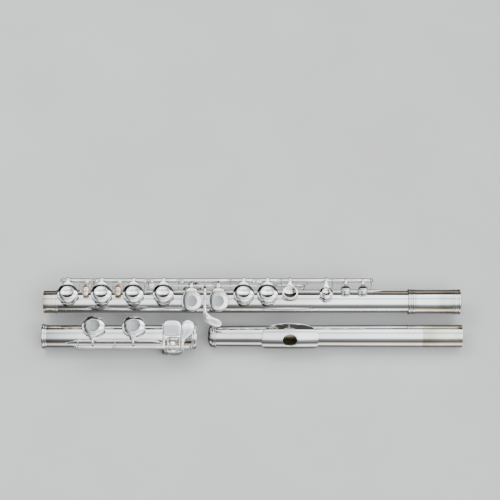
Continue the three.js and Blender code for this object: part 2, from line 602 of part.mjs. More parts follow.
add('foot_c_sharp_pad', pad(FOOT_C_SHARP_X, 0, FOOT_CUP_R), skin, FOOT, footSwing);
add('foot_d_sharp_key', hinged(-61.9, -54.3, FOOT_ROD, STEEL_BORE, [
  cup(FOOT_D_SHARP_X, FOOT_D_SHARP_ANGLE, CUP_R),
  arm(FOOT_D_SHARP_X, FOOT_D_SHARP_ANGLE, FOOT_ROD, CUP_R, -60.4),
  levelBar([
    [-58, 1.5, -14.9, 12.6], [-57.4, 1.7, -12, 14.3], [-56, 3.2, -8, 14.9], [-55.5, 5.4, -2.6, 14.9],
    [-55.5, 5.9, 2.6, 14.5], [-55.5, 4.7, 6.6, 14], [-55.5, 2.2, 8.6, 13.6],
  ], 1.1),
]), silver, FOOT);
add('foot_d_sharp_pad', pad(FOOT_D_SHARP_X, FOOT_D_SHARP_ANGLE, CUP_R), skin, FOOT);

export default group;
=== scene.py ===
"""Looks of a concert flute, laid out in its three sections: body at the back, foot and head in front."""

import json
import math

import bmesh
import bpy
from mathutils import Matrix, Vector

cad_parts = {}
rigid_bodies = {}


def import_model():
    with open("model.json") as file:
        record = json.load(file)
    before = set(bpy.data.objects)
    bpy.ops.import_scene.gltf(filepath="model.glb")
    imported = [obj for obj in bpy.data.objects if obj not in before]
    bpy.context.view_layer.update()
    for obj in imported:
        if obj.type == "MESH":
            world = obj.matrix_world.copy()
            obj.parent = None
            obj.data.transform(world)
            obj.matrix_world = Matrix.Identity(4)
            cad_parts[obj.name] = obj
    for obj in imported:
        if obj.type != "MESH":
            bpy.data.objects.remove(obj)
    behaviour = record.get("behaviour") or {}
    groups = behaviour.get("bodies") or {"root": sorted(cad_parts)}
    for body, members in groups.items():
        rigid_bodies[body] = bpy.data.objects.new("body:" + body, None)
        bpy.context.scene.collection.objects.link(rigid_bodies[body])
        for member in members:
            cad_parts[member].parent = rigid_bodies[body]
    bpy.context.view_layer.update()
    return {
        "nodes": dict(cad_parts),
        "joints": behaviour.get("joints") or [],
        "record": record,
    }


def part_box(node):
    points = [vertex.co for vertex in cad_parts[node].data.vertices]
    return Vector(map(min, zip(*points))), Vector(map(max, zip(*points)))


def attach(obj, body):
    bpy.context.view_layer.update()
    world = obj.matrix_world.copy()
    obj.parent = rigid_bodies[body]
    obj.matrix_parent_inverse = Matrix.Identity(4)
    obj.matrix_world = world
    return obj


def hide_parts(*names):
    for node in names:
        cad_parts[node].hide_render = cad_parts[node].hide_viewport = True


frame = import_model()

MM = 0.001

# Rolls of the sections about their tubes, in degrees.
BODY_ROLL = 0
HEAD_ROLL = 39
FOOT_ROLL = -13

# Tubes and tone holes in mm; heights are above the tube axis, as in the CAD part.
TUBE_R = 9.9
BORE_R = 9.5
SOCKET_R = 10.12
CHIMNEY_TOP = 12.3
CHIMNEY_WALL = 0.6
HOLE_R = 6.6
G_SHARP_HOLE_R = 6
THUMB_HOLE_R = 5.8
C_SHARP_HOLE_R = 3.8
TRILL_HOLE_R = 2.7
FOOT_HOLE_R = 7.4

# Cups and pads.
PAD_BOTTOM = 12.35
PAD_TOP = 14.75
CUP_RIM = 12.9
CUP_TOP = 14.85
CUP_GAP = 0.6
CUP_WALL = 0.5
CUP_R = 9.2
G_SHARP_CUP_R = 8.6
THUMB_CUP_R = 8
C_SHARP_CUP_R = 6
TRILL_CUP_R = 4.3
TOUCH_R = 7.2
FOOT_CUP_R = 10

# Hinge tubes, steels, arms, posts and springs.
KEY_TUBE_R = 1.9
SIDE_TUBE_R = 1.5
LEVER_TUBE_R = 1.3
STEEL_R = 0.7
ARM_SHEET = 0.9
POST_START = 10.2
POST_FLATNESS = 0.54
SPRING_BACK = 1.9
SPRING_DROP = 2.5

# Where holes and post feet sit round a tube, in degrees from its top towards the back.
G_ANGLE = -27
G_SHARP_ANGLE = 118
THUMB_ANGLE = 135
TRILL_ANGLE = 29
FOOT_D_SHARP_ANGLE = -115
MAIN_FOOT_ANGLE = 76
SIDE_FOOT_ANGLE = 57
THUMB_FOOT_ANGLE = 88
FOOT_POST_ANGLE = -76

# Lip plate and blow hole.
LIP_LENGTH = 50
LIP_WRAP = 76
LIP_SHEET = 0.9
LIP_RISE = 3.6
LIP_CLEAR = 1.1
LIP_END_DROP = 0.28
LIP_OUTLINE = 2.6
LIP_SLOPE_R = 13
LIP_SLOPE_ANGLE = 64
LIP_HOLE_R = 13.4
HOLE_AXES = (6.1, 5.2)
RISER_R = 12.5
RISER_WALL = 0.8


# ---- placing

def ring_box(node, end):
    """Box of a node's vertices at its low or high X end, in mm."""
    low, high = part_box(node)
    x = low.x if end == "low" else high.x
    near = [v.co for v in frame["nodes"][node].data.vertices if abs(v.co.x - x) < 0.05 * MM]
    return [(min(c[k] for c in near) / MM, max(c[k] for c in near) / MM) for k in range(3)]


class Section:
    """One tube with its own axis line and roll."""

    def __init__(self, node, end, roll):
        _, y, z = ring_box(node, end)
        centre = Matrix.Translation((0, sum(y) / 2, sum(z) / 2))
        self.place = centre @ Matrix.Rotation(math.radians(roll), 4, "X")

    def line(self, joint):
        """[y, z] of a hinge line in this section's own coordinates."""
        local = self.place.inverted() @ (Vector(joint["pos_m"]) / MM)
        return local.y, local.z


BODY = Section("body_tube", "low", BODY_ROLL)
HEAD = Section("head_tube", "high", HEAD_ROLL)
FOOT = Section("foot_tube", "high", FOOT_ROLL)
JOINTS = {j["name"]: j for j in frame["joints"]}
BY_CHILD = {j["child"]: j for j in frame["joints"]}


def centre_x(node):
    low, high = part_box(node)
    return (low.x + high.x) / 2 / MM


def span_x(node):
    low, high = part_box(node)
    return low.x / MM, high.x / MM


def tube_spans(node, section, line, radius):
    """X ranges of the hinge tubes of one radius round a line."""
    back = section.place.inverted()
    found = []
    for v in frame["nodes"][node].data.vertices:
        p = back @ (v.co / MM)
        if abs(math.hypot(p.y - line[0], p.z - line[1]) - radius) < 0.06:
            found.append(p.x)
    found.sort()
    spans = [[found[0], found[0]]]
    for x in found:
        if x - spans[-1][1] > 40:
            spans.append([x, x])
        spans[-1][1] = x
    return spans


def direction(angle):
    return math.sin(math.radians(angle)), math.cos(math.radians(angle))


def from_cup(angle, lateral, height):
    s, c = direction(angle)
    return height * s + lateral * c, height * c - lateral * s


def to_cup(angle, y, z):
    s, c = direction(angle)
    return y * c - z * s, y * s + z * c


# ---- surfaces: a piece is a list of shells, a shell is a list of rings of points

def soften(profile, radius=0.18, steps=3):
    """Rounds the inner corners of a profile."""
    out = [profile[0]]
    for a, b, c in zip(profile, profile[1:], profile[2:]):
        va, vc = Vector(a) - Vector(b), Vector(c) - Vector(b)
        reach = min(radius, va.length * 0.45, vc.length * 0.45)
        start, end = Vector(b) + va.normalized() * reach, Vector(b) + vc.normalized() * reach
        for k in range(steps + 1):
            t = k / steps
            out.append(tuple((1 - t) ** 2 * start + 2 * t * (1 - t) * Vector(b) + t * t * end))
    out.append(profile[-1])
    return out


def standing(profile, x, angle, n=64, scale=(1, 1)):
    """Turned about the line leaving the tube axis at x; profile points are (radius, height)."""
    rings = []
    for r, h in profile:
        ring = []
        for k in range(n):
            a = math.tau * k / n
            y, z = from_cup(angle, r * math.sin(a) * scale[1], h)
            ring.append((x + r * math.cos(a) * scale[0], y, z))
        rings.append(ring)
    return rings


def turned(profile, line=(0, 0), n=96):
    """Turned about an X line; profile points are (x, radius)."""
    return [[(x, line[0] + r * math.sin(math.tau * k / n), line[1] + r * math.cos(math.tau * k / n))
             for k in range(n)] for x, r in profile]


def rod(x0, x1, r, line, n=24, edge=0.12):
    return turned(soften([(x0, 0), (x0, r), (x1, r), (x1, 0)], edge), line, n)


def pipe(x0, x1, outer, inner, line=(0, 0), n=128, edge=0.12):
    profile = [(x0, (outer + inner) / 2), (x0, outer), (x1, outer), (x1, inner), (x0, inner),
               (x0, (outer + inner) / 2)]
    return turned(soften(profile, edge), line, n)


def spline(stations, steps):
    """Smooth curve through stations of any number of values."""
    pts = [Vector(s) for s in stations]
    out = []
    for i in range(len(pts) - 1):
        p0, p1, p2 = pts[max(i - 1, 0)], pts[i], pts[i + 1]
        p3 = pts[min(i + 2, len(pts) - 1)]
        for k in range(steps):
            t = k / steps
            out.append(0.5 * (2 * p1 + (p2 - p0) * t + (2 * p0 - 5 * p1 + 4 * p2 - p3) * t * t
                              + (3 * p1 - p0 - 3 * p2 + p3) * t ** 3))
    out.append(pts[-1])
    return out


def bar(stations, thickness, steps=6, boxy=0.5, n=16):
    """Bar along a smooth path; a station is (x, half width, y, z), its section a rounded rectangle."""
    path = spline(stations, steps)
    rings = []
    for i, (x, w, y, z) in enumerate(path):
        before, after = path[max(i - 1, 0)], path[min(i + 1, len(path) - 1)]
        ty, tz = after[2] - before[2], after[3] - before[3]
        k = 1 / (math.hypot(ty, tz) or 1)
        end = 0.55 if i in (0, len(path) - 1) else 1
        ring = []
        for j in range(n):
            a = math.tau * j / n
            u = math.copysign(abs(math.cos(a)) ** boxy, math.cos(a)) * w * end
            v = math.copysign(abs(math.sin(a)) ** boxy, math.sin(a)) * thickness / 2 * end
            ring.append((x + u, y - tz * k * v, z + ty * k * v))
        rings.append(ring)
    return rings


def sheet(nu, nv, face):
    """Closed plate; face(u, v) gives its outer and inner point for u and v from 0 to 1."""
    rings = []
    for i in range(nu + 1):
        outer = [face(i / nu, j / nv)[0] for j in range(nv + 1)]
        inner = [face(i / nu, j / nv)[1] for j in range(nv, -1, -1)]
        rings.append(outer + inner)
    return rings


def build(name, shells, section, material, body, nodes=(), swing=None, sharp=38):
    """Joins the shells into one object that rides on a CAD body."""
    verts, faces = [], []
    place = Matrix.Scale(MM, 4) @ section.place
    if swing:
        (y, z), angle = swing
        hinge = Matrix.Translation((0, y, z))
        place = place @ hinge @ Matrix.Rotation(angle, 4, "X") @ hinge.inverted()
    for rings in shells:
        start, n = len(verts), len(rings[0])
        verts += [place @ Vector(p) for ring in rings for p in ring]
        loop = all((Vector(a) - Vector(b)).length < 1e-4 for a, b in zip(rings[0], rings[-1]))
        for i in range(len(rings) - 1):
            for j in range(n):
                a, b = start + i * n + j, start + i * n + (j + 1) % n
                faces.append((a, b, b + n, a + n))
        if not loop:
            faces.append(tuple(start + j for j in range(n)))
            faces.append(tuple(start + (len(rings) - 1) * n + j for j in range(n - 1, -1, -1)))
    mesh = bpy.data.meshes.new(name)
    mesh.from_pydata(verts, [], faces)
    obj = bpy.data.objects.new(name, mesh)
    bpy.context.scene.collection.objects.link(obj)
    tidy(obj, sharp)
    mesh.materials.append(material)
    if nodes:
        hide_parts(*nodes)
    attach(obj, body)
    return obj


def tidy(obj, sharp=38):
    """Welds coincident points, turns faces outward and marks the sharp edges."""
    bm = bmesh.new()
    bm.from_mesh(obj.data)
    bmesh.ops.remove_doubles(bm, verts=bm.verts, dist=2e-6)
    bmesh.ops.recalc_face_normals(bm, faces=bm.faces)
    bm.to_mesh(obj.data)
    bm.free()
    obj.data.shade_smooth()
    obj.data.set_sharp_from_angle(angle=math.radians(sharp))


def carve(obj, shells, section):
    """Cuts shells out of an object."""
    body = obj.parent.name.removeprefix("body:")
    tool = build(obj.name + "_tool", shells, section, obj.data.materials[0], body)
    cutter = obj.modifiers.new("cut", "BOOLEAN")
    cutter.operation = "DIFFERENCE"
    cutter.solver = "EXACT"
    cutter.object = tool
    view = bpy.context.evaluated_depsgraph_get()
    cut = bpy.data.meshes.new_from_object(obj.evaluated_get(view))
    obj.modifiers.clear()
    obj.data = cut
    bpy.data.objects.remove(tool)
    tidy(obj, 30)


def shade_bore(obj, section):
    """Gives the faces that look towards the tube's axis the darker olive silver that paints shade inside
    the bore.
    """
    obj.data.materials.append(BORE_SHADE)
    axis = section.place.translation * MM
    for face in obj.data.polygons:
        out = face.center - axis
        out.x = 0
        if face.normal.dot(out) < -0.5 * out.length:
            face.material_index = 1


# ---- materials

class Nodes:
    """Small helper that wires the nodes of one tree."""

    def __init__(self, tree):
        self.tree = tree

    def node(self, kind, **values):
        made = self.tree.nodes.new(kind)
        for key, value in values.items():
            setattr(made, key, value)
        return made

    def link(self, out, to):
        self.tree.links.new(out, to)

    def ramp(self, value, stops):
        """Colour ramp through (position, (r, g, b)) stops."""
        made = self.node("ShaderNodeValToRGB")
        while len(made.color_ramp.elements) < len(stops):
            made.color_ramp.elements.new(0.5)
        for element, (at, colour) in zip(made.color_ramp.elements, stops):
            element.position = at
            element.color = (*colour, 1)
        self.link(value, made.inputs["Fac"])
        return made.outputs["Color"]


class Shader(Nodes):
    """One material; slot is the record's material slot it stands for."""

    def __init__(self, name, slot):
        self.material = bpy.data.materials.new(name)
        self.material.use_nodes = True
        self.material["slot"] = slot
        super().__init__(self.material.node_tree)
        self.bsdf = self.tree.nodes["Principled BSDF"]
        self.where = self.node("ShaderNodeTexCoord").outputs["Object"]

    def noise(self, scale, detail=4, stretch=(1, 1, 1), rough=0.55):
        mapping = self.node("ShaderNodeMapping")
        mapping.inputs["Scale"].default_value = stretch
        self.link(self.where, mapping.inputs["Vector"])
        made = self.node("ShaderNodeTexNoise")
        made.inputs["Scale"].default_value = scale
        made.inputs["Detail"].default_value = detail
        made.inputs["Roughness"].default_value = rough
        self.link(mapping.outputs["Vector"], made.inputs["Vector"])
        return made.outputs["Fac"]

    def remap(self, value, low, high, start=0.3, end=0.7):
        made = self.node("ShaderNodeMapRange")
        for key, number in (("From Min", start), ("From Max", end), ("To Min", low), ("To Max", high)):
            made.inputs[key].default_value = number
        self.link(value, made.inputs["Value"])
        return made.outputs["Result"]

    def bump(self, value, strength, distance=0.0001):
        made = self.node("ShaderNodeBump")
        made.inputs["Strength"].default_value = strength
        made.inputs["Distance"].default_value = distance
        self.link(value, made.inputs["Height"])
        self.link(made.outputs["Normal"], self.bsdf.inputs["Normal"])


def plated_metal(name, slot, bright, dull, rough, smudge=0.1):
    """Mirror plate: faint tarnish clouds, finger smudges and fine rubbing lines."""
    s = Shader(name, slot)
    s.bsdf.inputs["Metallic"].default_value = 1
    clouds = s.noise(28, 5)
    s.link(s.ramp(clouds, [(0.35, dull), (0.6, bright)]), s.bsdf.inputs["Base Color"])
    smears = s.node("ShaderNodeMath", operation="MULTIPLY")
    s.link(s.noise(70, 6, rough=0.65), smears.inputs[0])
    s.link(s.noise(300, 3), smears.inputs[1])
    s.link(s.remap(smears.outputs[0], rough, rough + smudge, 0.2, 0.42), s.bsdf.inputs["Roughness"])
    s.bump(s.noise(1400, 2, (0.08, 1, 1)), 0.05, 0.00002)
    return s.material


def skin_material():
    s = Shader("pad_skin", "pad_skin")
    tones = [(0.3, (0.62, 0.5, 0.3)), (0.55, (0.84, 0.76, 0.56)), (0.8, (0.9, 0.86, 0.72))]
    s.link(s.ramp(s.noise(260, 6), tones), s.bsdf.inputs["Base Color"])
    s.link(s.remap(s.noise(900, 4), 0.45, 0.7), s.bsdf.inputs["Roughness"])
    s.bsdf.inputs["Subsurface Weight"].default_value = 0.12
    s.bsdf.inputs["Subsurface Radius"].default_value = (0.0012, 0.0008, 0.0004)
    s.bump(s.noise(1600, 5), 0.35)
    return s.material


def cork_material():
    s = Shader("cork", "cork")
    tones = [(0.35, (0.16, 0.08, 0.035)), (0.5, (0.5, 0.29, 0.13)), (0.7, (0.68, 0.46, 0.26))]
    s.link(s.ramp(s.noise(700, 8, rough=0.75), tones), s.bsdf.inputs["Base Color"])
    s.bsdf.inputs["Roughness"].default_value = 0.85
    s.bump(s.noise(1100, 7), 0.8, 0.0002)
    return s.material


def steel_material():
    s = Shader("rod_steel", "steel")
    s.bsdf.inputs["Metallic"].default_value = 1
    tones = [(0.3, (0.36, 0.37, 0.39)), (0.7, (0.58, 0.59, 0.6))]
    s.link(s.ramp(s.noise(90, 5), tones), s.bsdf.inputs["Base Color"])
    s.link(s.remap(s.noise(900, 4, (0.05, 1, 1)), 0.2, 0.38), s.bsdf.inputs["Roughness"])
    s.bump(s.noise(1800, 3, (0.05, 1, 1)), 0.15, 0.00003)
    return s.material


def silver(name, bright, dull, rough, smudge=0.1):
    return plated_metal(name, "silver_plate", bright, dull, rough, smudge)


SILVER = silver("silver_plate", (0.93, 0.93, 0.935), (0.84, 0.82, 0.78), 0.045)
TENON = silver("tenon_silver", (0.86, 0.84, 0.78), (0.7, 0.66, 0.56), 0.13, 0.16)
NICKEL = plated_metal("nickel_silver", "nickel_silver", (0.86, 0.82, 0.72), (0.7, 0.64, 0.5), 0.09)
# Dark silver of the sheets laid in the finger dishes, which paint shade into the dishes.
DISH_SHADE = silver("satin_silver", (0.38, 0.4, 0.4), (0.3, 0.32, 0.31), 0.26, 0.12)
WORN = silver("worn_silver", (0.9, 0.76, 0.64), (0.72, 0.52, 0.4), 0.1, 0.16)
# Darker olive silver on the inner faces of the tubes and on the riser: painted shade inside the bore.
BORE_SHADE = silver("bore_silver", (0.4, 0.37, 0.27), (0.27, 0.24, 0.16), 0.28, 0.15)
SKIN = skin_material()
CORK = cork_material()
STEEL = steel_material()
CAD_MATERIALS = {made["slot"]: made for made in (SILVER, NICKEL, SKIN, CORK, STEEL)}
for entry in frame["record"]["subparts"]:
    node = frame["nodes"][entry["node"]]
    node.data.materials.clear()
    node.data.materials.append(CAD_MATERIALS[entry["material_slot"]])


# ---- repeated pieces

# The finger dish is a part of the cup radius. The ring round it is given for the usual dish, from the
# outer edge in: (part of the cup radius, rise above CUP_TOP).
USUAL_DISH = 0.64
RING_SLOPE = [(1, 0.15), (0.99, 0.38), (0.965, 0.56), (0.92, 0.76),
              (0.86, 0.96), (0.8, 1.12), (0.73, 1.28), (0.67, 1.4)]
RIDGE_RISE = 1.46


def bowl_rings(edge, height, hollow, steps=10):
    """Shallow bowl from its edge in to its middle."""
    shares = [1 - k / steps for k in range(steps + 1)]
    return [(edge * t, height - hollow * (1 - t ** 2)) for t in shares]


def cup(x, angle, r, hollow=0.5, dish=USUAL_DISH):
    """Key cup: thin wall, rounded outer ring, a narrow ridge and a shallow finger dish."""
    inside = r - CUP_WALL
    profile = soften([
        (0, CUP_TOP), (inside, CUP_TOP), (inside, CUP_RIM), (r, CUP_RIM), (r, CUP_TOP + 0.15)], 0.14)
    spread = (1 - dish) / (1 - USUAL_DISH)
    ring = [(r * (dish + (t - USUAL_DISH) * spread), CUP_TOP + h) for t, h in RING_SLOPE]
    ridge_r, ridge_h = r * dish, CUP_TOP + RIDGE_RISE
    ridge = [(ridge_r + 0.1, ridge_h), (ridge_r - 0.1, ridge_h), (ridge_r - 0.22, ridge_h - 0.12)]
    return standing(profile + ring + ridge + bowl_rings(ridge_r - 0.3, ridge_h - 0.2, hollow), x, angle)


def dish_shade_sheet(x, angle, r, hollow, dish):
    """Dark sheet a hair above the bowl that cup() turns, painted shade on the floor of a finger dish."""
    height, edge = CUP_TOP + RIDGE_RISE - 0.17, r * dish - 0.3
    base = height - hollow - 0.2
    return standing([(0, base), (edge, base)] + bowl_rings(edge, height, hollow), x, angle)


def domed_cup(x, angle, r):
    """Small trill cup with a domed top instead of a dish."""
    dome = [(r * direction(a)[1], CUP_TOP + 0.1 + 1.05 * direction(a)[0]) for a in range(0, 91, 10)]
    dome[-1] = (0, dome[-1][1])
    inside = r - CUP_WALL
    wall = [(0, CUP_TOP), (inside, CUP_TOP), (inside, CUP_RIM), (r, CUP_RIM), (r, CUP_TOP)]
    return standing(soften(wall, 0.12) + dome, x, angle, 40)


def pad_rings(x, angle, cup_r):
    r = cup_r - CUP_GAP
    profile = [(0, PAD_BOTTOM), (r - 0.3, PAD_BOTTOM), (r, PAD_BOTTOM + 0.5),
               (r - 0.05, PAD_TOP), (0, PAD_TOP)]
    return standing(soften(profile, 0.3, 4), x, angle, 48)


def arm(x, angle, line, cup_r, from_x=None, knee=None, flare=1):
    """Pointed arm from hinge tube to cup; a knee (y, z from the line) lifts its narrow end."""
    from_x = x if from_x is None else from_x
    between = (x + from_x) / 2
    lateral, height = to_cup(angle, *line)
    side = math.copysign(1, lateral)
    rim = from_cup(angle, side * (cup_r + 0.1), CUP_TOP + 0.6)
    inside = from_cup(angle, side * (cup_r - 1.3), CUP_TOP + 0.35)
    if knee:
        bend = (line[0] + knee[0], line[1] + knee[1])
        stem = ((line[0] + bend[0]) / 2 + 0.3 * side, (line[1] + bend[1]) / 2)
        middle = [0.5 * a + 0.5 * b for a, b in zip(bend, rim)]
        return [bar([
            (from_x, 1.2, *line), (from_x, 0.9, *stem), (from_x, 0.75, *bend),
            (between, cup_r * 0.17 * flare, *middle), (x, cup_r * 0.42 * flare, *rim),
            (x, cup_r * 0.5 * flare, *inside)], ARM_SHEET, boxy=0.35)]
    shoulder = (lateral - side * 0.9, height + 2.6)
    middle = ((shoulder[0] + side * cup_r) / 2, (shoulder[1] + CUP_TOP) / 2 + 1.025)
    stations = [
        (from_x, 1.2, *line), (from_x, 1.3, *from_cup(angle, *shoulder)),
        (between, cup_r * 0.2, *from_cup(angle, *middle)),
        (x, cup_r * 0.4, *rim), (x, cup_r * 0.46, *inside)]
    lift = from_cup(angle, 0, 0.35)
    keel = [(sx, 0.5, sy + lift[0], sz + lift[1]) for sx, _, sy, sz in stations[:-1]]
    return [bar(stations, ARM_SHEET, boxy=0.35), bar(keel, 1.1)]


def hinge_tube(x0, x1, line, r=KEY_TUBE_R):
    """Key tube with a turned groove near both ends."""
    groove = [(0, 0), (0, r), (0.9, r), (1.05, r - 0.16), (1.3, r - 0.16), (1.45, r)]
    profile = [(x0 + d, high) for d, high in groove]
    profile += [(x1 - d, high) for d, high in reversed(groove)]
    return turned(soften(profile, 0.08), line, 32)


def post(x, line, foot_angle, ball=2.2):
    """Turned post: a flared foot, a waisted stem with a collar, and a ball on the hinge line."""
    foot = [POST_START * v for v in direction(foot_angle)]
    reach = math.hypot(line[0] - foot[0], line[1] - foot[1])
    ty, tz = (line[0] - foot[0]) / reach, (line[1] - foot[1]) / reach
    neck = reach - ball
    profile = soften([(0, 0), (1.9, 0), (1.7, 0.4), (0.8, 1.3), (0.72, reach * 0.5), (0.8, neck - 0.3),
                      (1.15, neck - 0.1), (1.15, neck + 0.2)], 0.2)
    profile += [(ball * math.sin(math.radians(a)), reach - ball * math.cos(math.radians(a)))
                for a in range(40, 181, 14)]
    rings = []
    for r, h in profile + [(0, reach + ball)]:
        ring = []
        for k in range(28):
            a = math.tau * k / 28
            along, across = r * math.cos(a) * POST_FLATNESS, r * math.sin(a)
            ring.append((x + along, foot[0] + ty * h - tz * across, foot[1] + tz * h + ty * across))
        rings.append(ring)
    return rings


def screw_end(x, line, out):
    """Slotted head of a hinge steel, seen at the outer face of an end post."""
    low, high = sorted((x, x + out * 0.7))
    return [rod(low, high, 1.15, line, 28, 0.1)]


def chimney(x, angle, r):
    """Drawn tone hole: rolled rim, short wall and a fillet that runs into the tube."""
    outer = r + CHIMNEY_WALL
    fillet, fillet_top = 0.6, CHIMNEY_TOP - 0.7

    def tube_top(lateral):
        return math.sqrt(TUBE_R ** 2 - lateral ** 2)

    def ring(radius, height):
        """Ring round the hole; height(lateral) gives the height of each of its points."""
        points = []
        for k in range(72):
            a = math.tau * k / 72
            lateral = radius * math.sin(a)
            points.append((x + radius * math.cos(a), *from_cup(angle, lateral, height(lateral))))
        return points

    rings = [ring(r, lambda lateral: max(8.8, tube_top(lateral) - 0.3))]
    rim = [(r, 0.5), (r + 0.08, 0.15), (r + 0.3, 0), (outer, 0.1), (outer + 0.12, 0.4), (outer, 0.7)]
    rings += [ring(radius, lambda _: CHIMNEY_TOP - drop) for radius, drop in rim]
    for t in (0.35, 0.6, 0.8, 0.92, 1):
        rings.append(ring(outer + fillet * t ** 3, lambda lateral: (
            fillet_top + (tube_top(lateral) - 0.04 - fillet_top) * t)))
    rings.append([(px, py * 0.955, pz * 0.955) for px, py, pz in rings[-1]])
    rings.append(rings[0])
    return rings


def drill(x, angle, r):
    return standing([(0, 4), (r, 4), (r, 16), (0, 16)], x, angle, 72)


def strap(x0, x1, angles, cuts=(), outer=0.9):
    """Plate on the tube with a pointed tip at both ends; cuts narrow it beside tone holes."""
    first, last = angles
    middle = (first + last) / 2
    stations = 160

    def edges(x):
        tip = min(1, min(x - x0, x1 - x) / 9 + 0.03)
        low, high = middle + (first - middle) * tip ** 0.7, middle + (last - middle) * tip ** 0.7
        for cx, c_angle, r in cuts:
            if abs(x - cx) < r:
                reach = math.degrees(math.asin(min(1, math.sqrt(r * r - (x - cx) ** 2) / TUBE_R)))
                if c_angle > middle:
                    high = min(high, c_angle - reach)
                else:
                    low = max(low, c_angle + reach)
        return low, high

    def face(u, v):
        x = x0 + (x1 - x0) * u
        low, high = edges(x)
        s, c = direction(low + (high - low) * v)
        top = TUBE_R + outer - 0.25 * abs(2 * v - 1) ** 4
        return (x, top * s, top * c), (x, (TUBE_R + 0.02) * s, (TUBE_R + 0.02) * c)

    return sheet(stations, 8, face)


def spring(x, length, line):
    """Needle spring from a post, under the hinge tube."""
    y, z = line[0] - SPRING_BACK, line[1] - SPRING_DROP
    end = x + length
    return turned([(x, 0), (x, 0.26), (end, 0.17), (end, 0)] if length > 0 else
                  [(end, 0), (end, 0.17), (x, 0.26), (x, 0)], (y, z), 12)


def clutch(x, line):
    """Adjusting tab on a key tube, with its small screw."""
    y, z = line
    tab = bar([(x, 1.04, y - 0.4, z + 1.5), (x, 1.3, y - 1.9, z + 2.9), (x, 1.3, y - 3.8, z + 3)],
              0.9, 4, 0.35)
    around = [math.tau * k / 20 for k in range(20)]
    shaft = [[(x + 0.62 * math.cos(a), y - 2.9 + 0.62 * math.sin(a), z + h) for a in around]
             for h in (2.2, 4.3, 4.45)]
    return [tab, shaft]


def rest_swing(body, section):
    """Open-standing keys are drawn closed and swung back by their joint's range."""
    joint = BY_CHILD[body]
    line = section.line(joint)
    if not joint["name"].endswith("_close"):
        return None
    return line, -joint["axis"][0] * math.radians(joint["range_deg"][1])


def key(body, section, cups, extras=(), tube_r=KEY_TUBE_R, arms=None, **shape):
    """Hinge tubes, cups with arms, and pads; cups are (pad node, angle, radius, hollow, dish)."""
    line = section.line(BY_CHILD[body])
    swing = rest_swing(body, section)
    shells = list(extras)
    for x0, x1 in tube_spans(body, section, line, tube_r):
        shells.append(hinge_tube(x0, x1, line, tube_r))
    for pad_node, angle, r, *hollow in cups:
        x = centre_x(pad_node)
        shells.append(cup(x, angle, r, *hollow))
        shells += arm(x, angle, line, r, (arms or {}).get(pad_node), **shape)
        build(pad_node + "_fine", [pad_rings(x, angle, r)], section, SKIN, body, [pad_node], swing)
    return build(body + "_fine", shells, section, SILVER, body, [body], swing)


# ---- body: tube, barrel and posts

ROD = BODY.line(JOINTS["d_close"])
SIDE = BODY.line(JOINTS["g_sharp_open"])
THUMB = BODY.line(JOINTS["thumb_close"])
INLINE = ("d", "e", "f", "f_sharp", "a", "b_flat")
HOLES = [(name + "_pad", 0, HOLE_R) for name in INLINE]
HOLES += [("lower_g_pad", G_ANGLE, HOLE_R), ("g_pad", G_ANGLE, HOLE_R),
          ("g_sharp_pad", G_SHARP_ANGLE, G_SHARP_HOLE_R), ("thumb_pad", THUMB_ANGLE, THUMB_HOLE_R),
          ("c_sharp_pad", 0, C_SHARP_HOLE_R), ("d_trill_pad", TRILL_ANGLE, TRILL_HOLE_R),
          ("d_sharp_trill_pad", TRILL_ANGLE, TRILL_HOLE_R)]


def open_tube(node, section, body, holes, extra=()):
    """Tube with its drawn tone holes; a hole is (pad node over it, angle, radius)."""
    tube = build(node + "_fine", [pipe(*span_x(node), TUBE_R, BORE_R)], section, SILVER, body)
    placed = [(centre_x(pad), angle, r) for pad, angle, r in holes]
    carve(tube, [drill(*hole) for hole in placed], section)
    shade_bore(tube, section)
    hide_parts(node)
    chimneys = [chimney(*hole) for hole in placed]
    build(node + "_fine_chimneys", chimneys + list(extra), section, SILVER, body)


open_tube("body_tube", BODY, "body", HOLES)

ring_x = centre_x("tenon_ring")
build("tenon_ring_fine", [turned(soften([
    (ring_x - 1, TUBE_R), (ring_x - 1, TUBE_R + 0.6), (ring_x + 1, TUBE_R + 0.6), (ring_x + 1, TUBE_R),
    (ring_x - 1, TUBE_R)], 0.3, 4))], BODY, SILVER, "body", ["tenon_ring"])
tenon_x = span_x("body_tube")[0]
build("body_tenon_sleeve", [pipe(tenon_x + 0.02, ring_x - 1.1, TUBE_R + 0.02, TUBE_R - 0.1)],
      BODY, TENON, "body")


def beads(x0, x1, inner, outer, rings):
    """Sleeve with rounded beads; a ring is (x, width, rise)."""
    profile = [(x0, (inner + outer) / 2), (x0, outer - 0.1)]
    for x, width, rise in rings:
        profile.append((x - width / 2, outer))
        profile += [(x - width / 2 * direction(a)[1], outer + rise * direction(a)[0] ** 0.8)
                    for a in range(15, 180, 15)]
        profile.append((x + width / 2, outer))
    profile += [(x1, outer - 0.1), (x1, inner), (x0, inner), (x0, (inner + outer) / 2)]
    return turned(soften(profile, 0.07, 2))


b0, b1 = span_x("barrel")
build("barrel_fine", [beads(b0, b1, SOCKET_R, 10.7, [
    (b0 + 1.1, 2, 0.6), (b0 + 3, 1.2, 0.3), (b0 + 5, 2, 0.42), (b0 + 6.9, 1, 0.2),
    (b1 - 6.9, 1, 0.2), (b1 - 5, 2, 0.42), (b1 - 3.2, 1.2, 0.3), (b1 - 1.2, 2.1, 0.6)])],
      BODY, SILVER, "body", ["barrel"])

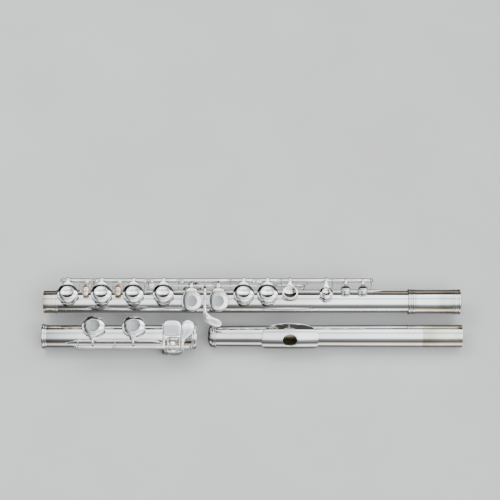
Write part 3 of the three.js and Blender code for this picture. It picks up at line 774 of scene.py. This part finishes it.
# X of the posts on each hinge line.
MAIN_POSTS = [-166.5, -139.5, -91.5, -64.5, -19, 25.8, 70.8, 105]
SIDE_POSTS = [-151.2, -140.9, -122.4, -113.2, -94, -50.6, -32.4, 11.5]
THUMB_POSTS = [21, 46]
RIB_ANGLES = (50, 92)
rib_cuts = [(centre_x("g_sharp_pad"), G_SHARP_ANGLE, 7.2), (centre_x("d_trill_pad"), TRILL_ANGLE, 4.2),
            (centre_x("d_sharp_trill_pad"), TRILL_ANGLE, 4.2)]
posts = [post(x, ROD, MAIN_FOOT_ANGLE) for x in MAIN_POSTS]
posts += [post(x, SIDE, SIDE_FOOT_ANGLE, 1.6) for x in SIDE_POSTS]
posts += [post(x, THUMB, THUMB_FOOT_ANGLE, 1.8) for x in THUMB_POSTS]
build("main_rib_fine", [strap(*span_x("main_rib"), RIB_ANGLES, rib_cuts)] + posts,
      BODY, SILVER, "body", ["main_rib"])
thumb_screws = screw_end(THUMB_POSTS[0] - 1, THUMB, -1) + screw_end(THUMB_POSTS[-1] + 1, THUMB, 1)
build("thumb_steel_fine", [rod(*span_x("thumb_steel"), STEEL_R, THUMB)] + thumb_screws,
      BODY, STEEL, "body", ["thumb_steel"])
# (x of its post, length); a negative length points to the left.
SPRINGS = [(-138.4, -12), (-138.4, 13), (-90.4, -14), (-63.4, 10), (-18, 15), (-20, -16),
           (26.8, -14), (71.6, 11), (62.4, -13.8)]
BEAD_X, BEAD_R = 48.6, 0.75
bead = turned([(BEAD_X + BEAD_R * direction(a)[1], BEAD_R * direction(a)[0]) for a in range(180, -1, -20)],
              (ROD[0] - SPRING_BACK, ROD[1] - SPRING_DROP), 16)
build("needle_springs", [spring(x, length, ROD) for x, length in SPRINGS] + [bead], BODY, STEEL, "body")
build("rod_screws", screw_end(MAIN_POSTS[0] - 1.7, ROD, -1) + screw_end(MAIN_POSTS[-1] + 1.2, ROD, 1),
      BODY, STEEL, "d_sharp_trill_key")


# ---- body keys

# Knees of the arms, (y, z) from the hinge line.
LOW_KNEE = (-1.8, 7.3)
HIGH_KNEE = (-7.6, 9.4)
# X of the adjusting tab on the keys that carry one.
CLUTCHES = {"e": -136.4, "f": -94.6, "f_sharp": -88.2, "a": 1.6, "b_flat": 4.8}
for name in INLINE:
    key(name + "_key", BODY, [(name + "_pad", 0, CUP_R)],
        clutch(CLUTCHES[name], ROD) if name in CLUTCHES else (), knee=LOW_KNEE)
G_DISH = (0.26, 0.56)
key("g_key", BODY, [("lower_g_pad", G_ANGLE, CUP_R, *G_DISH), ("g_pad", G_ANGLE, CUP_R, *G_DISH)],
    clutch(-61.6, ROD), knee=HIGH_KNEE, flare=1.25)
# Dark sheets in the G dishes: painted shade.
build("g_dishes", [dish_shade_sheet(centre_x(pad), G_ANGLE, CUP_R, *G_DISH) for pad in ("lower_g_pad", "g_pad")],
      BODY, DISH_SHADE, "g_key", swing=rest_swing("g_key", BODY))

touch_x = centre_x("thumb_pad")
touch_wall = soften([
    (0, 14.4), (TOUCH_R - 0.6, 14.4), (TOUCH_R, 14.9), (TOUCH_R, 15.5), (TOUCH_R - 0.5, 16.1),
    (TOUCH_R * 0.8, 16.15), (TOUCH_R * 0.74, 15.9)], 0.2)
touch = standing(touch_wall + bowl_rings(TOUCH_R * 0.7, 15.85, 1.1, 8), touch_x, 0)
key("c_sharp_key", BODY, [("c_sharp_pad", 0, C_SHARP_CUP_R, 0.85)],
    [touch, *arm(touch_x, 0, ROD, TOUCH_R, knee=LOW_KNEE)], knee=LOW_KNEE)


def trill_arm(x):
    """Narrow stem that opens into a small triangle on the cup."""
    return bar([
        (x, 1.1, *ROD), (x, 0.8, ROD[0] - 0.2, ROD[1] + 3.2), (x, 0.75, ROD[0] - 2.2, ROD[1] + 5.6),
        (x, 1.2, *from_cup(TRILL_ANGLE, 4.4, CUP_TOP + 1.6)),
        (x, 2.7, *from_cup(TRILL_ANGLE, 0.6, CUP_TOP + 1.3)),
        (x, 3.3, *from_cup(TRILL_ANGLE, -2.4, CUP_TOP + 0.8))], 0.8, boxy=0.5)


def trill_key(name, shaft_r):
    """Long shaft with its hinge tubes, the small domed cup and the tab that its touch lever pushes."""
    body = name + "_key"
    cup_x = centre_x(name + "_pad")
    tubes = tube_spans(body, BODY, ROD, KEY_TUBE_R)
    tab_x = sum(tubes[0]) / 2
    x0, x1 = span_x(body)
    if shaft_r > STEEL_R:
        x1 = tubes[-1][1]
    tab = bar([(tab_x, 1.4, ROD[0] - 0.3, ROD[1] + 1.4), (tab_x, 1.3, ROD[0] - 3.1, ROD[1] + 1.3)], 0.8)
    shells = [hinge_tube(*tube, ROD) for tube in tubes]
    shells += [rod(x0, x1, shaft_r, ROD), domed_cup(cup_x, TRILL_ANGLE, TRILL_CUP_R), trill_arm(cup_x), tab]
    build(body + "_fine", shells, BODY, SILVER, body, [body])
    build(name + "_pad_fine", [pad_rings(cup_x, TRILL_ANGLE, TRILL_CUP_R)],
          BODY, SKIN, body, [name + "_pad"])


def trill_touch(lever):
    """Touch lever on the side line: a short tube, its lug and the rounded touch that curls forward."""
    x0, x1 = span_x(lever)
    x = centre_x(lever)
    y, z = SIDE
    lug = bar([(x, 1.3, y + 0.3, z - 0.4), (x, 1.2, y + 2.7, z - 0.7)], 0.8)
    touch = bar([
        (x, 1.0, y, z + 0.5), (x, 1.0, y - 1.4, z + 4.4), (x, 1.9, y - 3.4, z + 6),
        (x, 2.8, y - 5.8, z + 6.4), (x, 3, y - 8.2, z + 6.3), (x, 2.3, y - 10.4, z + 5.9),
        (x, 0.8, y - 11.5, z + 5.6)], 1, boxy=0.8)
    tube = hinge_tube(x0 + 2.6, x1 - 2.6, SIDE, LEVER_TUBE_R)
    build(lever + "_fine", [rod(x0, x1, STEEL_R, SIDE), tube, lug, touch], BODY, WORN, lever, [lever])


for name, shaft_r in (("d_trill", 1.2), ("d_sharp_trill", STEEL_R)):
    trill_key(name, shaft_r)
    trill_touch(name + "_touch")

# ---- side line: B flat lever and G sharp key

lever_x = JOINTS["b_flat_lever_press"]["pos_m"][0] / MM
y, z = SIDE
build("b_flat_lever_fine", [
    rod(*span_x("b_flat_lever"), STEEL_R, SIDE),
    hinge_tube(lever_x - 2.9, lever_x + 3.1, SIDE, LEVER_TUBE_R),
    bar([(lever_x, 1, y, z + 0.4), (lever_x, 1.1, y + 0.2, z + 4.4), (lever_x, 2.1, y - 0.6, z + 6.6),
         (lever_x, 2.7, y - 2, z + 7.1), (lever_x, 2.7, y - 3.6, z + 7), (lever_x, 1.2, y - 5, z + 6.8)],
        1, boxy=0.8),
    bar([(7, 1.4, y, z + 0.4), (7, 1.4, y + 1.4, z + 3), (7, 1.4, y + 4, z + 3.6)], 0.9),
], BODY, SILVER, "b_flat_lever", ["b_flat_lever"])

arm_x = JOINTS["g_sharp_open"]["pos_m"][0] / MM
sharp_lever = bar([
    (arm_x, 1.2, 12, 8.6), (arm_x, 1.3, 9, 12.6), (arm_x, 1.3, 4, 13.9), (arm_x, 1.3, -3, 13.7),
    (arm_x, 1.4, -9, 12.2), (arm_x + 0.3, 1.8, -14.5, 10.6), (arm_x + 2.9, 3.6, -18.2, 10.2),
    (arm_x + 6.1, 6, -21.1, 10.2), (arm_x + 8.1, 6.5, -23.8, 9.9), (arm_x + 9.7, 5, -26.2, 9.5),
    (arm_x + 10.5, 1.9, -27.4, 9.2)], 1.3, boxy=0.85, n=24)
key("g_sharp_key", BODY, [("g_sharp_pad", G_SHARP_ANGLE, G_SHARP_CUP_R)], [sharp_lever], SIDE_TUBE_R,
    {"g_sharp_pad": -46.4})

# ---- thumb keys

key("thumb_key", BODY, [("thumb_pad", THUMB_ANGLE, THUMB_CUP_R)], (), SIDE_TUBE_R, {"thumb_pad": 31})
low, high = tube_spans("thumb_b_flat_lever", BODY, THUMB, SIDE_TUBE_R)[0]
build("thumb_b_flat_lever_fine", [hinge_tube(low, high, THUMB, SIDE_TUBE_R), bar([
    (42.6, 1.3, 17, -2.6), (44, 1.7, 16.4, -7), (46, 3.1, 14.6, -9.6), (46.6, 3.7, 12.2, -11.6),
    (46.6, 3.1, 9.8, -13.2), (46.6, 1.5, 8.3, -14)], 1.1, boxy=0.8)],
      BODY, SILVER, "thumb_b_flat_lever", ["thumb_b_flat_lever"])

# ---- head

CLOSED_R = 8.95
HEAD_WALL = 0.4
TENON_LENGTH = 35
h0, h1 = span_x("head_tube")
taper_start = h1 - 30


def head_radius(x):
    """The head narrows towards its closed end, faster the further it is from the tenon."""
    share = max(0, taper_start - x) / (taper_start - h0)
    return CLOSED_R + (TUBE_R - CLOSED_R) * (1 - share ** 1.6)


outer = [(x, head_radius(x)) for x in [h0 + (h1 - h0) * k / 24 for k in range(25)]]
wall = outer + [(x, r - HEAD_WALL) for x, r in reversed(outer)] + [outer[0]]
head_tube = build("head_tube_fine", [turned(wall, n=128)], HEAD, SILVER, "head")
LIP_X = centre_x("lip_plate")
carve(head_tube, [standing([(0, 4), (1, 4), (1, 14), (0, 14)], LIP_X, 0, 72, HOLE_AXES)], HEAD)
shade_bore(head_tube, HEAD)
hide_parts("head_tube")
build("head_tenon_sleeve", [pipe(h1 - TENON_LENGTH, h1 - 0.02, TUBE_R + 0.02, TUBE_R - 0.1)],
      HEAD, TENON, "head")

tube_r = head_radius(LIP_X + LIP_LENGTH / 2)
lip_base = tube_r + LIP_CLEAR


def lip_radius(angle, edge):
    """The plate runs down to the tube in front; behind its crease it falls in a straight slope."""
    rise = LIP_RISE
    if angle > 0:
        slope = LIP_SLOPE_R / math.cos(math.radians(angle - LIP_SLOPE_ANGLE)) - lip_base
        rise = min(rise, slope) if angle < LIP_SLOPE_ANGLE else slope
    else:
        rise *= math.cos(math.radians(min(90, -angle * 90 / LIP_WRAP))) ** 1.5
    return lip_base + rise * (1 - LIP_END_DROP * edge ** 2)


def lip_plate():
    """Plate from the blow hole's edge out to its rounded outline, wrapped round the tube."""
    n, steps = 120, 26
    rings = []

    def point(t, a, sink):
        ca, sa = math.cos(a), math.sin(a)
        hole = (HOLE_AXES[0] * ca, math.degrees(HOLE_AXES[1] * sa / LIP_HOLE_R))
        power = 2 / LIP_OUTLINE
        edge = (LIP_LENGTH / 2 * math.copysign(abs(ca) ** power, ca),
                LIP_WRAP * math.copysign(abs(sa) ** power, sa))
        u = hole[0] + (edge[0] - hole[0]) * t
        angle = hole[1] + (edge[1] - hole[1]) * t
        s, c = direction(angle)
        r = lip_radius(angle, abs(u) * 2 / LIP_LENGTH) - sink
        return LIP_X + u, r * s, r * c

    depth = LIP_SHEET * 0.95
    path = [(0, depth), (0, depth * 0.55), (0.004, 0.22), (0.012, 0.08), (0.03, 0.01)]
    path += [(0.03 + 0.94 * k / steps, 0) for k in range(1, steps + 1)]
    path += [(0.985, 0.03), (0.995, 0.12), (1, 0.35)]
    path += [(t, depth) for t in (0.995, 0.6, 0.3, 0)]
    for t, sink in path:
        rings.append([point(t, math.tau * k / n, sink) for k in range(n)])
    return rings


build("lip_plate_fine", [lip_plate()], HEAD, SILVER, "head", ["lip_plate"])


def riser():
    """Short chimney between tube and plate, following both surfaces."""
    n = 96
    rings = []
    inside, outside = [(0, 0), (0, 0.5), (0, 1)], [(RISER_WALL, 1), (RISER_WALL, 0.5), (RISER_WALL, 0)]
    for grow, top in inside + outside + inside[:1]:
        ring = []
        for k in range(n):
            a = math.tau * k / n
            u, lateral = (HOLE_AXES[0] + grow) * math.cos(a), (HOLE_AXES[1] + grow) * math.sin(a)
            low_h = math.sqrt((tube_r - 0.3) ** 2 - lateral ** 2)
            angle = math.degrees(math.atan2(lateral, RISER_R))
            under = lip_radius(angle, abs(u) * 2 / LIP_LENGTH) - LIP_SHEET * 0.8
            high_h = math.sqrt(under ** 2 - lateral ** 2)
            ring.append((LIP_X + u, *from_cup(0, lateral, low_h + (high_h - low_h) * top)))
        rings.append(ring)
    return rings


# The riser takes the bore's darker silver as painted shade inside the blow hole.
build("riser_fine", [riser()], HEAD, BORE_SHADE, "head", ["riser"])
c0, c1 = span_x("crown")
crown_skin = soften([
    (c1, 1.9), (c1, 10.1), (c1 - 0.9, 10.15), (c1 - 1.2, 9.75), (c1 - 1.6, 9.75), (c1 - 1.9, 9.95),
    (c1 - 2.5, 9.7), (c1 - 3.6, 9.6), (c1 - 5, 8.8), (c1 - 6.1, 6.8), (c0 + 0.25, 5), (c0, 3.2),
    (c0, 0)], 0.3, 4)
screw_pocket = [(c0, 0), (c1 - 4.3, 0), (c1 - 4.3, 1.9), (c1, 1.9)]
build("crown_fine", [turned(crown_skin + screw_pocket)], HEAD, SILVER, "crown", ["crown"])

# ---- foot

FOOT_HOLES = [("foot_c_pad", 0, FOOT_HOLE_R), ("foot_c_sharp_pad", 0, FOOT_HOLE_R),
              ("foot_d_sharp_pad", FOOT_D_SHARP_ANGLE, HOLE_R)]
f0 = span_x("foot_tube")[0]
end_bead = beads(f0, f0 + 4.2, TUBE_R - 0.1, TUBE_R + 0.25, [(f0 + 1.2, 2.2, 0.75), (f0 + 3.1, 1.4, 0.4)])
open_tube("foot_tube", FOOT, "foot", FOOT_HOLES, [end_bead])
s0, s1 = span_x("foot_socket")
FOOT_ROD = FOOT.line(JOINTS["foot_c_close"])
build("foot_socket_fine", [beads(s0, s1, SOCKET_R, 10.7, [(s1 - 1.3, 2.1, 0.45), (s1 - 3.2, 1, 0.2)]),
                           post(-52.6, FOOT_ROD, FOOT_POST_ANGLE)], FOOT, SILVER, "foot", ["foot_socket"])
FOOT_POSTS = [-152.2, -119.9]
FOOT_RIB_ANGLES = (-92, -56)
foot_posts = [post(x, FOOT_ROD, FOOT_POST_ANGLE) for x in FOOT_POSTS]
build("foot_rib_fine", [strap(*span_x("foot_rib"), FOOT_RIB_ANGLES)] + foot_posts,
      FOOT, SILVER, "foot", ["foot_rib"])
build("foot_screws", screw_end(-51.4, FOOT_ROD, 1) + screw_end(-153.6, FOOT_ROD, -1), FOOT, STEEL, "foot")
FOOT_SPRINGS = [(-151, 15), (-118.7, 16), (-121, -13)]
build("foot_springs", [spring(x, length, FOOT_ROD) for x, length in FOOT_SPRINGS], FOOT, STEEL, "foot")


def level(stations):
    """Stations whose (y, z) are level, from the tube axis, turned into the rolled foot section."""
    back = Matrix.Rotation(math.radians(-FOOT_ROLL), 3, "X")
    out = []
    for x, w, sy, sz in stations:
        p = back @ Vector((0, sy, sz))
        out.append((x, w, p.y, p.z))
    return out


FOOT_KNEE = (0.6, 6.2)
FOOT_DISH = (0.5, 0.6)
# Dark sheets in the foot dishes: painted shade.
for name in ("foot_c", "foot_c_sharp"):
    build(name + "_dish", [dish_shade_sheet(centre_x(name + "_pad"), 0, FOOT_CUP_R, *FOOT_DISH)],
          FOOT, DISH_SHADE, name + "_key", swing=rest_swing(name + "_key", FOOT))
roller_x0, roller_x1 = span_x("foot_c_roller")
roller = level([(0, 0, -8.2, 13.1)])[0][2:]
fork = [bar(level([(x, 0.5, -14.9, 12), (x, 0.5, -11.4, 12.9), (x, 0.5, -7.4, 13.2)]), 2.2, boxy=0.6)
        for x in (roller_x0 - 0.9, roller_x1 + 0.8)]
key("foot_c_key", FOOT, [("foot_c_pad", 0, FOOT_CUP_R, *FOOT_DISH)],
    fork + [rod(roller_x0 - 1, roller_x1 + 0.9, 0.5, roller), rod(-124, -63, STEEL_R, FOOT_ROD)],
    knee=FOOT_KNEE, flare=0.6)
roller_skin = soften([
    (roller_x0, 0), (roller_x0, 1.4), (roller_x0 + 1.2, 2.15),
    (roller_x1 - 1.2, 2.15), (roller_x1, 1.4), (roller_x1, 0)], 0.8, 5)
build("foot_c_roller_fine", [turned(roller_skin, roller, 40)], FOOT, NICKEL, "foot_c_roller",
      ["foot_c_roller"], rest_swing("foot_c_key", FOOT))
c_sharp_stem = bar(level([(-76.8, 1, -14.9, 13), (-76.8, 1, -9, 13.6), (-76.8, 1.1, -3.4, 13.2)]),
                   1.1, boxy=0.4)
c_sharp_touch = bar(level([
    (-70, 7.9, -4.6, 13.4), (-70, 8.1, -1, 13.25), (-70, 8, 3.4, 12.9), (-70, 7.4, 6, 12.6),
    (-70, 6, 7.6, 12.4), (-70, 4.2, 8.3, 12.3)]), 1.3, boxy=0.5, n=28)
key("foot_c_sharp_key", FOOT, [("foot_c_sharp_pad", 0, FOOT_CUP_R, *FOOT_DISH)],
    [c_sharp_stem, c_sharp_touch], knee=FOOT_KNEE, flare=0.6)
d_sharp_touch = bar(level([
    (-60.4, 1.2, -14.9, 12.6), (-60.4, 1.3, -12, 14.3), (-59.5, 2.3, -8, 14.5), (-57.4, 4.4, -4.2, 14.7),
    (-56.3, 5.8, 0.2, 14.9), (-56.2, 5.9, 3.6, 14.95), (-56.2, 4.7, 7, 14.85), (-56.2, 2.4, 8.8, 14.6)]),
    1.3, boxy=0.8, n=28)
key("foot_d_sharp_key", FOOT, [("foot_d_sharp_pad", FOOT_D_SHARP_ANGLE, CUP_R)], [d_sharp_touch],
    arms={"foot_d_sharp_pad": -60.4})


# ---- floor, light and camera

FLOOR_REACH = 3


def floor():
    """Pale floor, hidden from reflections so that the metal shows the darker bands of the room instead."""
    s = Shader("floor", "floor")
    tones = [(0.3, (0.5, 0.496, 0.488)), (0.7, (0.54, 0.536, 0.528))]
    s.link(s.ramp(s.noise(9, 3), tones), s.bsdf.inputs["Base Color"])
    s.bsdf.inputs["Roughness"].default_value = 0.75
    mesh = bpy.data.meshes.new("floor")
    corners = [(-1, -1), (1, -1), (1, 1), (-1, 1)]
    mesh.from_pydata([(x * FLOOR_REACH, y * FLOOR_REACH, 0) for x, y in corners], [], [(0, 1, 2, 3)])
    mesh.materials.append(s.material)
    obj = bpy.data.objects.new("floor", mesh)
    bpy.context.scene.collection.objects.link(obj)
    obj.visible_glossy = False


def area(name, place, size, power, colour=(1, 1, 1)):
    """Soft lamp aimed at the flute; it lights the floor but doesn't show up in the metal."""
    light = bpy.data.lights.new(name, "AREA")
    light.shape = "RECTANGLE"
    light.size, light.size_y = size
    light.energy = power
    light.color = colour
    obj = bpy.data.objects.new(name, light)
    obj.location = place
    obj.rotation_euler = (-Vector(place)).to_track_quat("-Z", "Y").to_euler()
    obj.visible_glossy = False
    bpy.context.scene.collection.objects.link(obj)


# Bands of the studio seen in the metal: (degrees from overhead towards the front, brightness, tint).
COOL, WARM, PLAIN = (0.93, 0.97, 1), (1, 0.78, 0.52), (1, 1, 1)
BANDS = [
    (-180, 0.35, PLAIN), (-140, 0.15, PLAIN), (-96, 0.1, PLAIN), (-90, 0.5, WARM), (-85, 1, WARM),
    (-80, 0.08, PLAIN), (-51, 0.06, PLAIN), (-46, 3, COOL), (-41, 4.5, COOL), (-36, 1.8, COOL),
    (-31, 1.6, COOL), (-25, 4, COOL), (-17, 1.5, COOL), (-6, 1.4, COOL), (4, 2.6, COOL), (22, 2.6, COOL),
    (34, 2.7, COOL), (46, 2, COOL), (55, 0.4, COOL), (67, 0.28, COOL), (78, 0.12, PLAIN), (86, 0.22, WARM),
    (94, 0.45, WARM), (103, 1.3, PLAIN), (117, 2.2, COOL), (129, 0.8, PLAIN), (142, 0.1, PLAIN),
    (180, 0.3, PLAIN)]
# Brightness from the left end of the room (0) to the right (1).
SIDES = [
    (0, 0.3), (0.09, 0.25), (0.14, 0.85), (0.215, 0.85), (0.25, 0.06), (0.3, 0.06), (0.36, 0.4),
    (0.44, 0.9), (0.5, 0.8), (0.54, 1.15), (0.75, 1.25), (0.88, 0.7), (1, 0.3)]
SIDE_PEAK = 1.25
BRIGHTEST = 5
BACKDROP = (1, 0.995, 0.985)


def strips(s, way):
    """Strips of light along the tubes, by the angle of view about X."""
    front = s.node("ShaderNodeMath", operation="MULTIPLY")
    front.inputs[1].default_value = -1
    s.link(way.outputs["Y"], front.inputs[0])
    angle = s.node("ShaderNodeMath", operation="ARCTAN2")
    s.link(front.outputs[0], angle.inputs[0])
    s.link(way.outputs["Z"], angle.inputs[1])
    turn = s.node("ShaderNodeMapRange")
    turn.inputs["From Min"].default_value, turn.inputs["From Max"].default_value = -math.pi, math.pi
    s.link(angle.outputs[0], turn.inputs["Value"])
    return s.ramp(turn.outputs["Result"], [
        ((at + 180) / 360, tuple(level / BRIGHTEST * c for c in tint)) for at, level, tint in BANDS])


def ends(s, way):
    """Brightness of the room from its left end to its right."""
    side = s.node("ShaderNodeMapRange")
    side.inputs["From Min"].default_value = -1
    s.link(way.outputs["X"], side.inputs["Value"])
    return s.ramp(side.outputs["Result"], [(at, (level / SIDE_PEAK,) * 3) for at, level in SIDES])


def room():
    """Studio that the metal reflects; the camera itself sees a plain pale backdrop instead."""
    world = bpy.data.worlds.new("room")
    world.use_nodes = True
    bpy.context.scene.world = world
    s = Nodes(world.node_tree)
    way = s.node("ShaderNodeSeparateXYZ")
    s.link(s.node("ShaderNodeTexCoord").outputs["Generated"], way.inputs["Vector"])
    both = s.node("ShaderNodeMix", data_type="RGBA", blend_type="MULTIPLY")
    both.inputs["Factor"].default_value = 1
    s.link(strips(s, way), both.inputs["A"])
    s.link(ends(s, way), both.inputs["B"])

    strength = BRIGHTEST * SIDE_PEAK
    chosen = s.node("ShaderNodeMix", data_type="RGBA")
    s.link(s.node("ShaderNodeLightPath").outputs["Is Camera Ray"], chosen.inputs["Factor"])
    s.link(both.outputs["Result"], chosen.inputs["A"])
    chosen.inputs["B"].default_value = (*(c / strength for c in BACKDROP), 1)
    background = s.tree.nodes["Background"]
    s.link(chosen.outputs["Result"], background.inputs["Color"])
    background.inputs["Strength"].default_value = strength


# Height of view in degrees; distance and width of view in metres; shift of the aim in metres.
ELEVATION = 65
DISTANCE = 1.6
FRAME_WIDTH = 0.4409
SENSOR = 36
AIM_LEFT = 0.0018
AIM_ABOVE = 0.0458


def camera():
    """Looks along +Y from 65 degrees above; the flute lies a little below the middle of the frame."""
    elevation = math.radians(ELEVATION)
    towards = Vector((0, -math.cos(elevation), math.sin(elevation)))
    up = Vector((0, math.sin(elevation), math.cos(elevation)))
    axis = BODY.place.translation * MM
    target = Vector((-AIM_LEFT, axis.y, axis.z)) + up * AIM_ABOVE
    data = bpy.data.cameras.new("camera")
    data.sensor_width = SENSOR
    data.lens = SENSOR * DISTANCE / FRAME_WIDTH
    obj = bpy.data.objects.new("camera", data)
    obj.location = target + towards * DISTANCE
    obj.rotation_euler = (-towards).to_track_quat("-Z", "Y").to_euler()
    bpy.context.scene.collection.objects.link(obj)
    bpy.context.scene.camera = obj


floor()
room()
area("back_lamp", (-0.6, 0.5, 1.3), (1.0, 0.6), 12)
area("front_lamp", (0.5, -0.8, 1.2), (0.9, 0.5), 8)
camera()
